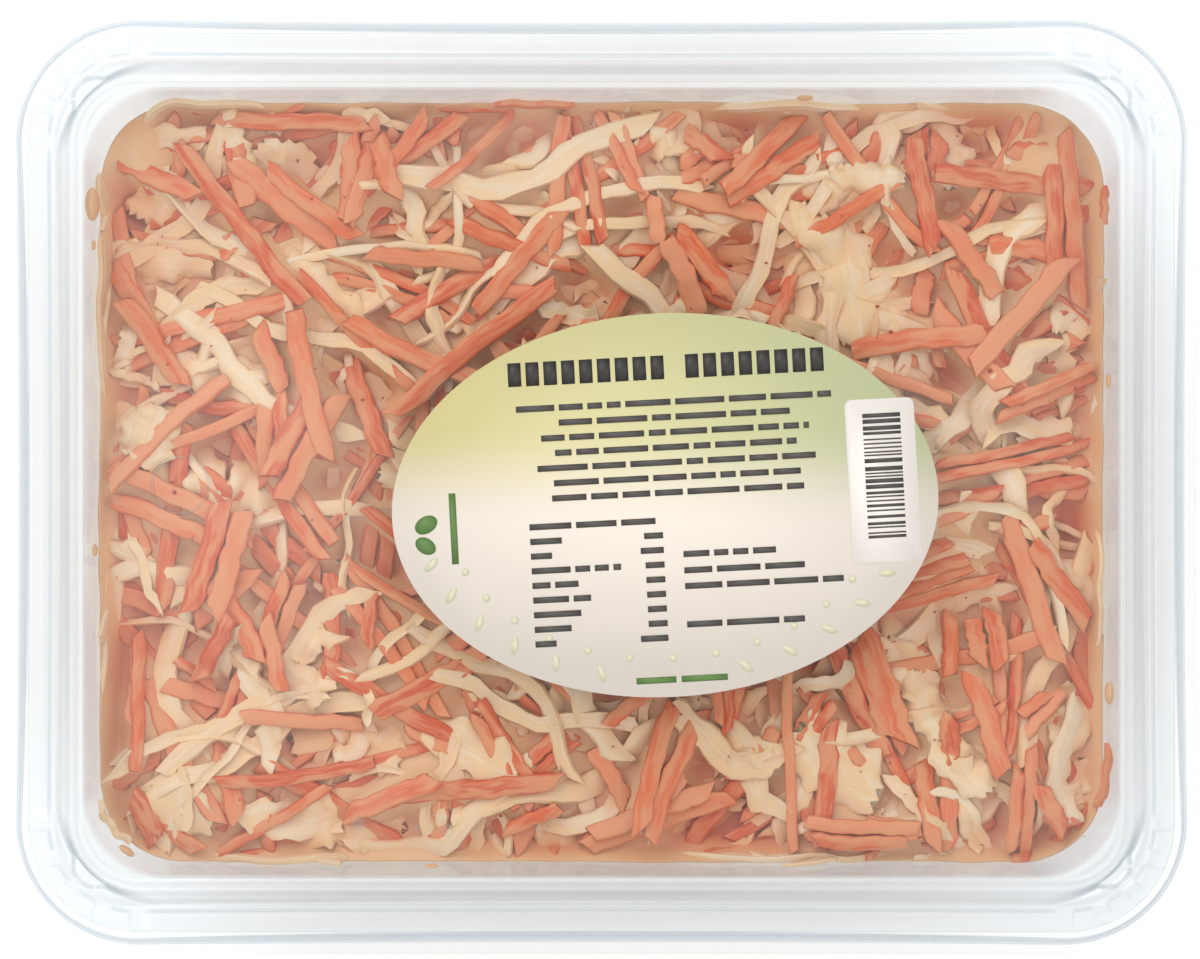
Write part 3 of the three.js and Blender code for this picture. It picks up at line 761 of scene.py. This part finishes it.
# Chili
# Flakes of dried chili that came with the dressing, stuck flat on the shreds.
FLAKE_COUNT = 200
flakes = bmesh.new()
for flake in range(FLAKE_COUNT):
    x = draw.uniform(-1, 1) * (PACK_HALF[0] - MOUTH[0] - 3)
    y = draw.uniform(-1, 1) * (PACK_HALF[1] - MOUTH[0] - 3)
    size = draw.uniform(0.14, 0.34) * (1 if flake % 6 else 1.6)
    lying = Matrix.Translation((x, y, bed[cells(x, y)] + 0.05))
    turned = Matrix.Rotation(draw.uniform(0, math.pi), 4, "Z")
    flat = Matrix.Diagonal((1, draw.uniform(0.4, 0.9), 0.35, 1))
    bmesh.ops.create_icosphere(flakes, subdivisions=1, radius=size, matrix=lying @ turned @ flat)


def dried_chili():
    """Dried chili skin: deep red to brown, with a dull shine."""
    material, tree, place = bare_material("dried_chili")
    patchy = add(tree, "TexNoise", {"Scale": 1 / (6 * MM), "Detail": 0}, {"Vector": place})
    body = add(tree, "MixRGB", {"Color1": colour("#C8482A"), "Color2": colour("#9A3A20")},
               {"Fac": patchy})
    skin = add(tree, "BsdfPrincipled", {"Roughness": 0.4, "IOR": 1.45},
               {"Base Color": body})
    add(tree, "OutputMaterial", None, {"Surface": skin})
    return material


finish_piece(flakes, "chili_flakes", dried_chili())

# Smears
# Spots of dressing on the wall where shreds have slid down it: share of the way round, height,
# length along the wall and height of the spot.
SMEARS = [(0.418, 47.2, 6.4, 5), (0.43, 46.4, 2, 1.6), (0.938, 46.2, 4.4, 3.2), (0.03, 45.6, 3, 1.8),
          (0.61, 45.8, 3.4, 2.6), (0.7, 45.2, 2.6, 1.6), (0.19, 46, 3.2, 2), (0.52, 45.4, 2.4, 2)]
# How far a spot swells from the wall for each millimetre of its height
SMEAR_DEPTH = 0.26
smears = bmesh.new()
for share, height, length, tall in SMEARS:
    (line,), (facing,) = wall_point(np.array([share]), np.array([height]), 0)
    turned = Vector(facing).to_track_quat("X", "Z").to_matrix().to_4x4()
    shape = Matrix.Diagonal((SMEAR_DEPTH * tall, length / 2, tall / 2, 1))
    bmesh.ops.create_icosphere(smears, subdivisions=4, radius=1,
                               matrix=Matrix.Translation(line) @ turned @ shape)
finish_piece(smears, "wall_smears", bpy.data.materials["spiced_mayonnaise"])

# Lid
# Clear PET again, a little thinner: a sunk panel with a bead, a crest, a flat ring with five
# stacking lugs and a half-round pocket at each corner, a skirt and a turned-out lip.
LID_SHEET = 0.5
RING_TOP = 56.1
CREST_TOP = 57.4
PANEL_TOP = 53.6
LIP_TOP = 49.4
LID_CORNER = 25.4
LUG = {"start": 16.8, "reach": 21, "width": 3.6, "height": 1, "angles": [0, 22.5, 45, 67.5, 90]}
POCKET = {"radius": 4.1, "middle": 11.2, "floor": 55}


def struck(inset, height, sag=0):
    """A row of the lid's profile whose corner arcs share one centre."""
    return inset, LID_CORNER - inset, height, sag


LID_PROFILE = [
    (18, 9, PANEL_TOP, 0),
    struck(14.4, PANEL_TOP),
    struck(14.0, PANEL_TOP + 0.6),
    struck(13.4, PANEL_TOP + 0.6),
    struck(12.8, PANEL_TOP),
    (10, 20.6, CREST_TOP, 0.8),
    struck(8.8, CREST_TOP, 0.4),
    struck(8.2, RING_TOP, 0.4),
    struck(3.4, RING_TOP, 1.4),
    struck(2.9, RING_TOP - 0.6, 1.4),
    struck(1.9, LIP_TOP + 0.4, 0.5),
    struck(1.6, LIP_TOP, 0.5),
    struck(0, LIP_TOP),
]


def form_corners(mesh):
    """Pushes the lugs up and the pockets down in the sheet at each corner."""
    for vert in mesh.verts:
        x, y = [abs(vert.co[way]) - (PACK_HALF[way] - LID_CORNER) for way in (0, 1)]
        reach, angle = math.hypot(x, y), math.degrees(math.atan2(y, x))
        if reach > LUG["start"] - 2:
            nearest = min(LUG["angles"], key=lambda lug: abs(lug - angle))
            turned = math.radians(angle - nearest)
            beside, ahead = reach * math.sin(turned), reach * math.cos(turned)
            end = LUG["reach"] - LUG["width"] / 2
            distance = math.hypot(beside, max(ahead - end, 0))
            inside = min(max((LUG["width"] / 2 + 0.1 - distance) / 0.7, 0), 1)
            if ahead > LUG["start"] - 1 and vert.co.z > RING_TOP - 0.1:
                raised = max(vert.co.z, RING_TOP + LUG["height"] * inside * inside * (3 - 2 * inside))
                vert.co.z = min(raised, max(vert.co.z, CREST_TOP))
        away = math.hypot(*[side - POCKET["middle"] * math.sqrt(0.5) for side in (x, y)])
        sunk = min(max((POCKET["radius"] + 0.3 - away) / 0.6, 0), 1)
        vert.co.z += sunk * (min(vert.co.z, POCKET["floor"]) - vert.co.z)
    return mesh


lid_mesh = form_corners(formed_sheet(softened(LID_PROFILE, BEND, 0.5), 72, 31))
lid = finish_piece(lid_mesh, "clear_lid", formed_pet("formed_pet_lid", "#CBD8E1", 0.03, 0.12))
thicken(lid, LID_SHEET)
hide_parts("lid")

# Marks in the lid
# A plain moulded ring at the left of the panel and two pips by its lower edge, raised in the sheet.
RING_MARK = {"middle": (-80.1, -0.5), "radius": 5.4, "bead": 0.3}
PIPS = [((-46.1, -64.8), 1.2), ((-29.3, -66.3), 1.3), ((-35, -65.6), 0.5)]
marks = bmesh.new()
bead = bmesh.ops.create_circle(marks, cap_ends=False, radius=RING_MARK["bead"], segments=10)
bmesh.ops.rotate(marks, matrix=Matrix.Rotation(math.pi / 2, 3, "X"), verts=marks.verts)
bmesh.ops.translate(marks, vec=(RING_MARK["radius"], 0, 0), verts=marks.verts)
bmesh.ops.spin(marks, geom=[*marks.verts, *marks.edges], cent=(0, 0, 0), axis=(0, 0, 1), angle=2 * math.pi,
               steps=72, use_merge=True)
bmesh.ops.translate(marks, vec=(*RING_MARK["middle"], PANEL_TOP), verts=marks.verts)
bmesh.ops.recalc_face_normals(marks, faces=marks.faces)
finish_piece(marks, "lid_ring_mark", bpy.data.materials["formed_pet_lid"])
pips = bmesh.new()
for middle, radius in PIPS:
    dome = Matrix.Translation((*middle, PANEL_TOP)) @ Matrix.Diagonal((radius, radius, 0.4, 1))
    bmesh.ops.create_uvsphere(pips, u_segments=24, v_segments=12, radius=1, matrix=dome)
finish_piece(pips, "lid_pips", formed_pet("stress_whitened_pet", "#FFFFFF", 0.6, 0.02))

# Label
# An oval of satin coated paper stuck on the lid's panel, printed pale green fading to warm white.
label_low, label_high = [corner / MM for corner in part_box("label")]
LABEL_MIDDLE = (label_low + label_high) / 2
LABEL_SIZE = (104, 73)
LABEL_TURN = math.radians(3)
LABEL_FACETS = 160
PRINT = 0.03
FADE = (-9, 11)


def on_label(mesh, height):
    """Turns print laid out round the label's middle with the label, and sets it at a height."""
    bmesh.ops.rotate(mesh, matrix=Matrix.Rotation(LABEL_TURN, 3, "Z"), verts=mesh.verts)
    bmesh.ops.translate(mesh, vec=(LABEL_MIDDLE.x, LABEL_MIDDLE.y, height), verts=mesh.verts)
    return mesh


def oval(mesh, middle, size, thickness, facets, turn=0):
    """Adds a flat oval of a thickness."""
    turned = Matrix.Translation((*middle, 0)) @ Matrix.Rotation(turn, 4, "Z")
    place = turned @ Matrix.Diagonal((size[0] / 2, size[1] / 2, 1, 1))
    made = bmesh.ops.create_circle(mesh, cap_ends=True, radius=1, segments=facets, matrix=place)
    face = made["verts"][0].link_faces[0]
    raised = bmesh.ops.extrude_face_region(mesh, geom=[face])["geom"]
    top = [part for part in raised if isinstance(part, bmesh.types.BMVert)]
    bmesh.ops.translate(mesh, vec=(0, 0, thickness), verts=top)


def bar(mesh, middle, size, thickness):
    """Adds a flat printed bar of a thickness."""
    place = Matrix.Translation((*middle, thickness / 2)) @ Matrix.Diagonal((*size, thickness, 1))
    bmesh.ops.create_cube(mesh, size=1, matrix=place)


def coated_paper(name, left, right, bottom, fade):
    """Satin coated paper with flat inks: a faint tooth in the gloss, and no grain to see. The ink turns
    from left to right in the upper part, and fades to the lower one."""
    material, tree, place = bare_material(name)
    axes = add(tree, "SeparateXYZ", None, {"Vector": place}).outputs
    share = add(tree, "MapRange", {"From Min": fade[0] * MM, "From Max": fade[1] * MM,
                                             "interpolation_type": "SMOOTHSTEP"}, {"Value": axes["Y"]})
    across = add(tree, "MapRange", {"From Min": -30 * MM, "From Max": 50 * MM}, {"Value": axes["X"]})
    upper = add(tree, "MixRGB", {"Color1": colour(left), "Color2": colour(right)},
                {"Fac": across})
    ink = add(tree, "MixRGB", {"Color1": colour(bottom)},
              {"Fac": share, "Color2": upper})
    tooth = add(tree, "TexNoise", {"Scale": 1 / (0.5 * MM), "Detail": 0}, {"Vector": place})
    bump = add(tree, "Bump", {"Strength": 0.15, "Distance": 0.02 * MM},
               {"Height": tooth})
    skin = add(tree, "BsdfPrincipled", {"Roughness": 0.42, "IOR": 1.5},
               {"Base Color": ink, "Normal": bump})
    add(tree, "OutputMaterial", None, {"Surface": skin})
    return material


def printed(name, mesh, ink, layer=0):
    """A piece of the label's print, lying on the paper or on a print below it."""
    made = on_label(mesh, label_high.z + layer * PRINT)
    return finish_piece(made, name, coated_paper(f"ink_{name}", ink, ink, ink, FADE))


label_mesh = bmesh.new()
oval(label_mesh, (0, 0), LABEL_SIZE, label_high.z - label_low.z, LABEL_FACETS)
label = finish_piece(on_label(label_mesh, label_low.z), "paper_label",
                     coated_paper("coated_paper", "#CFC388", "#BFC296", "#E5DACE", FADE))
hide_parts("label")

# Print
# Flat inks in fields and plain shapes: a row of dark blocks, lines of small bars, a pale ring of
# seeds along the lower edge, a green mark and a white panel with bars.
title = bmesh.new()
BLOCK = (2.5, 4.5)
BLOCK_STEP = 3.4
for start, blocks in ((-28.6, 9), (5.2, 8)):
    for block in range(blocks):
        bar(title, (start + BLOCK_STEP * block + BLOCK[0] / 2, 26.2), BLOCK, PRINT)
printed("print_title", title, "#2F2B27")

LINE_STEP = 2.87
LINE_HEIGHT = 1.15
WORD_GAP = 0.9


def line_of_words(mesh, start, reach, height, seed):
    """A line of small bars as long as words, drawn at random."""
    lengths = np.random.default_rng(seed)
    at = start
    while at < start + reach - 1:
        word = min(lengths.uniform(2.5, 10), start + reach - at)
        bar(mesh, (at + word / 2, height), (word, LINE_HEIGHT), PRINT)
        at += word + WORD_GAP


words = bmesh.new()
for line, reach in enumerate((60, 44, 51, 46, 53, 47, 48)):
    line_of_words(words, 2.6 - reach / 2, reach, 19.6 - line * LINE_STEP, line)
for line, reach in enumerate((24, 6, 4, 17, 9, 11, 9, 7, 4)):
    height = -2.9 - line * 2.79
    line_of_words(words, -26, reach, height, 40 + line)
    if line:
        figures = (3.6, 4.4, 3.6, 3.6, 3.6, 3.6, 3.6, 5.2)[line - 1]
        bar(words, (-0.7 - figures / 2, height), (figures, LINE_HEIGHT), PRINT)
for line, (height, reach) in enumerate(((-9.5, 17.6), (-12.6, 24.2), (-15.6, 30.2), (-22.9, 23))):
    line_of_words(words, 3, reach, height, 60 + line)
printed("print_words", words, "#494440", layer=1)

green = bmesh.new()
oval(green, (-45.6, -1.4), (4.6, 3.2), PRINT, 28, 0.5)
oval(green, (-45.9, -5.4), (4.2, 3.0), PRINT, 28, -0.6)
bar(green, (-40.4, -2.4), (1.3, 13.5), PRINT)
for word, at in ((7.6, -7.2), (8.8, 1.4)):
    bar(green, (at + word / 2, -33.2), (word, 1.2), PRINT)
printed("print_green", green, "#587A3C")

seeds = bmesh.new()
SEED_ARC = (196, 344)
SEED_COUNT = 27
for seed_place in range(SEED_COUNT):
    angle = math.radians(SEED_ARC[0] + (SEED_ARC[1] - SEED_ARC[0]) * seed_place / (SEED_COUNT - 1))
    share, size = ((0.9, (3.4, 1.5)), (0.8, (1.5, 1.5)))[seed_place % 2]
    middle = (LABEL_SIZE[0] / 2 * share * math.cos(angle), LABEL_SIZE[1] / 2 * share * math.sin(angle))
    if abs(middle[0] - 1.5) > 12 or seed_place % 2:
        oval(seeds, middle, size, PRINT * 0.6, 20, angle + 0.5)
printed("print_seeds", seeds, "#D0CDB0")

panel = bmesh.new()
bar(panel, (41.6, 2.4), (13.2, 31.4), PRINT)
upright = [edge for edge in panel.edges if abs(edge.verts[0].co.z - edge.verts[1].co.z) > PRINT / 2]
bmesh.ops.bevel(panel, geom=upright, offset=1.4, segments=6, profile=0.5, affect="EDGES", material=-1)
printed("print_panel", panel, "#E8E0D8")

bars = bmesh.new()
at = -8.4
bar_draw = np.random.default_rng(8)
while at < 15:
    thick = bar_draw.choice([0.3, 0.3, 0.55, 0.8])
    bar(bars, (41.9, at + thick / 2), (7.2, thick), PRINT)
    at += thick + bar_draw.choice([0.3, 0.5, 0.75])
printed("print_bars", bars, "#45423E", layer=1)

# Stage
# A plain white floor, soft light from all round, and the camera straight above the tray.
floor_mesh = bmesh.new()
bmesh.ops.create_grid(floor_mesh, x_segments=1, y_segments=1, size=3)
floor_data = bpy.data.meshes.new("floor")
floor_mesh.to_mesh(floor_data)
floor_mesh.free()
floor = bpy.data.objects.new("floor", floor_data)
bpy.context.scene.collection.objects.link(floor)
floor_material = bpy.data.materials.new("white_paper_sweep")
floor_material.use_nodes = True
floor_tree = floor_material.node_tree
floor_tree.nodes.clear()
floor_skin = add(floor_tree, "BsdfPrincipled", {
    "Base Color": colour("#F4F4F4"),
    "Roughness": 0.9,
    "Specular IOR Level": 0.1,
    "Emission Color": colour("#FFFFFF"),
    "Emission Strength": 0.16,
})
add(floor_tree, "OutputMaterial", None, {"Surface": floor_skin})
floor_data.materials.append(floor_material)

world = bpy.data.worlds.new("studio")
bpy.context.scene.world = world
world.use_nodes = True
world_tree = world.node_tree
world_tree.nodes.clear()
direction = add(world_tree, "TexCoord").outputs["Generated"]
upward = add(world_tree, "SeparateXYZ", None, {"Vector": direction})
sky = add(world_tree, "ValToRGB", None, {"Fac": upward.outputs["Z"]})
SKY = [(0.0, "#8797A3"), (0.12, "#A9B8C2"), (0.3, "#FFFFFF"), (1.0, "#FFFFFF")]
for place, (position, code) in enumerate(SKY):
    stop = sky.color_ramp.elements[place] if place < 2 else sky.color_ramp.elements.new(position)
    stop.position = position
    stop.color = colour(code)
# The lid mirrors what is overhead: the dark opening for the lens, and the bright sheet round it
away = add(world_tree, "VectorMath", {"operation": "DISTANCE", 1: (0.012, 0, 1)}, {0: direction})
opening = add(world_tree, "MapRange", {
    "From Min": 0.03, "From Max": 0.1, "To Min": 0.3, "To Max": 1, "interpolation_type": "SMOOTHSTEP",
}, {"Value": away.outputs["Value"]})
overhead = opening
HAZE = [((-0.056, -0.004, 1), 0.045, 0.8), ((0.062, 0.006, 1), 0.035, 0.5), ((-0.01, 0.064, 1), 0.03, 0.5)]
for towards, reach, gain in HAZE:
    from_middle = add(world_tree, "VectorMath", {"operation": "DISTANCE", 1: towards},
                      {0: direction})
    brighter = add(world_tree, "MapRange", {
        "From Max": reach, "To Min": gain, "To Max": 0, "interpolation_type": "SMOOTHSTEP",
    }, {"Value": from_middle.outputs["Value"]})
    overhead = add(world_tree, "Math", {"operation": "ADD"},
                   {0: overhead, 1: brighter}).outputs["Value"]
lit = add(world_tree, "VectorMath", {"operation": "MULTIPLY"},
          {0: sky, 1: overhead})
glow = add(world_tree, "Background", {"Strength": 1.08}, {"Color": lit})
add(world_tree, "OutputWorld", None, {"Surface": glow})


def softbox(name, place, aim, size, power):
    """A large soft lamp that shines on a point."""
    lamp = bpy.data.lights.new(name, "AREA")
    lamp.size = size
    lamp.energy = power
    holder = bpy.data.objects.new(name, lamp)
    holder.location = place
    holder.rotation_euler = (Vector(aim) - Vector(place)).to_track_quat("-Z", "Y").to_euler()
    bpy.context.scene.collection.objects.link(holder)


softbox("key_softbox", (-0.55, 0.75, 0.8), (0, 0, 0.04), 1.2, 6)
softbox("fill_softbox", (0.8, -0.3, 0.8), (0, 0, 0.04), 1, 1.5)

LENS_HEIGHT = 1.1
VIEW_WIDTH = 229.08
SENSOR = 36
camera_data = bpy.data.cameras.new("camera")
camera_data.sensor_width = SENSOR
camera_data.lens = SENSOR * LENS_HEIGHT / (VIEW_WIDTH * MM)
camera = bpy.data.objects.new("camera", camera_data)
camera.location = (-0.00029, 0.00057, LENS_HEIGHT + LIP_TOP * MM)
bpy.context.scene.collection.objects.link(camera)
bpy.context.scene.camera = camera
bpy.context.scene.view_settings.view_transform = "Standard"
light_paths = bpy.context.scene.cycles
light_paths.max_bounces = 8
light_paths.use_light_tree = False
light_paths.diffuse_bounces = 2
light_paths.glossy_bounces = 2
light_paths.caustics_reflective = False
light_paths.caustics_refractive = False
